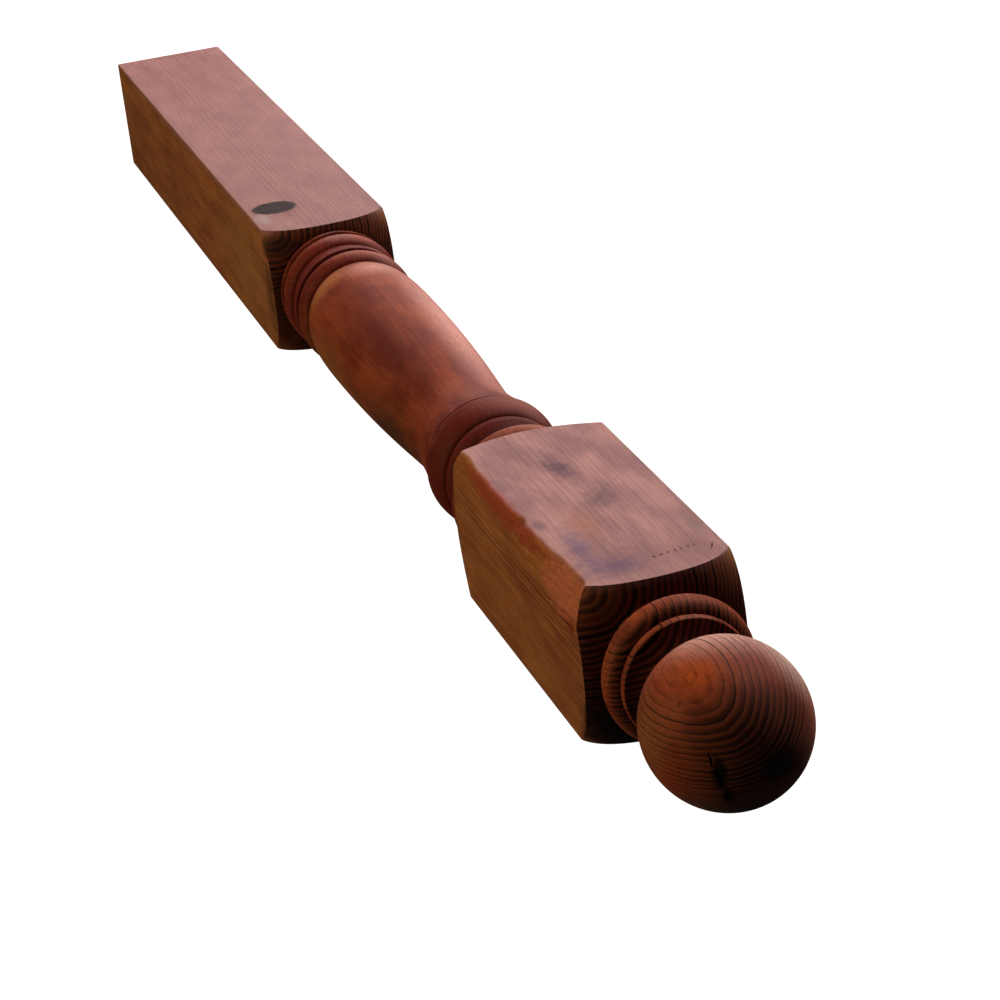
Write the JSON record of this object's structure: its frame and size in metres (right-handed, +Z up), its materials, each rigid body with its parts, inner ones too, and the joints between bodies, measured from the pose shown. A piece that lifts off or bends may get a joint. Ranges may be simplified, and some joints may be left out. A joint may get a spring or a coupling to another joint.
{
  "type": "turned deck post",
  "caption": "Square redwood deck post with a ball top, a square rail block, a long turned vase between rings and a square lower block.",
  "frame": {"origin": "centre of the post's square foot, on the ground", "axes": "+Z runs up the post from the foot to the ball; +X and -Y look out of the two faces that meet at the worn arris of the upper block"},
  "size_m": [0.089, 0.089, 1.372],
  "materials": {
    "redwood": "turned and sanded bare redwood, slightly weathered"
  },
  "bodies": {
    "root": {"turned_post": "redwood"}
  },
  "joints": []
}
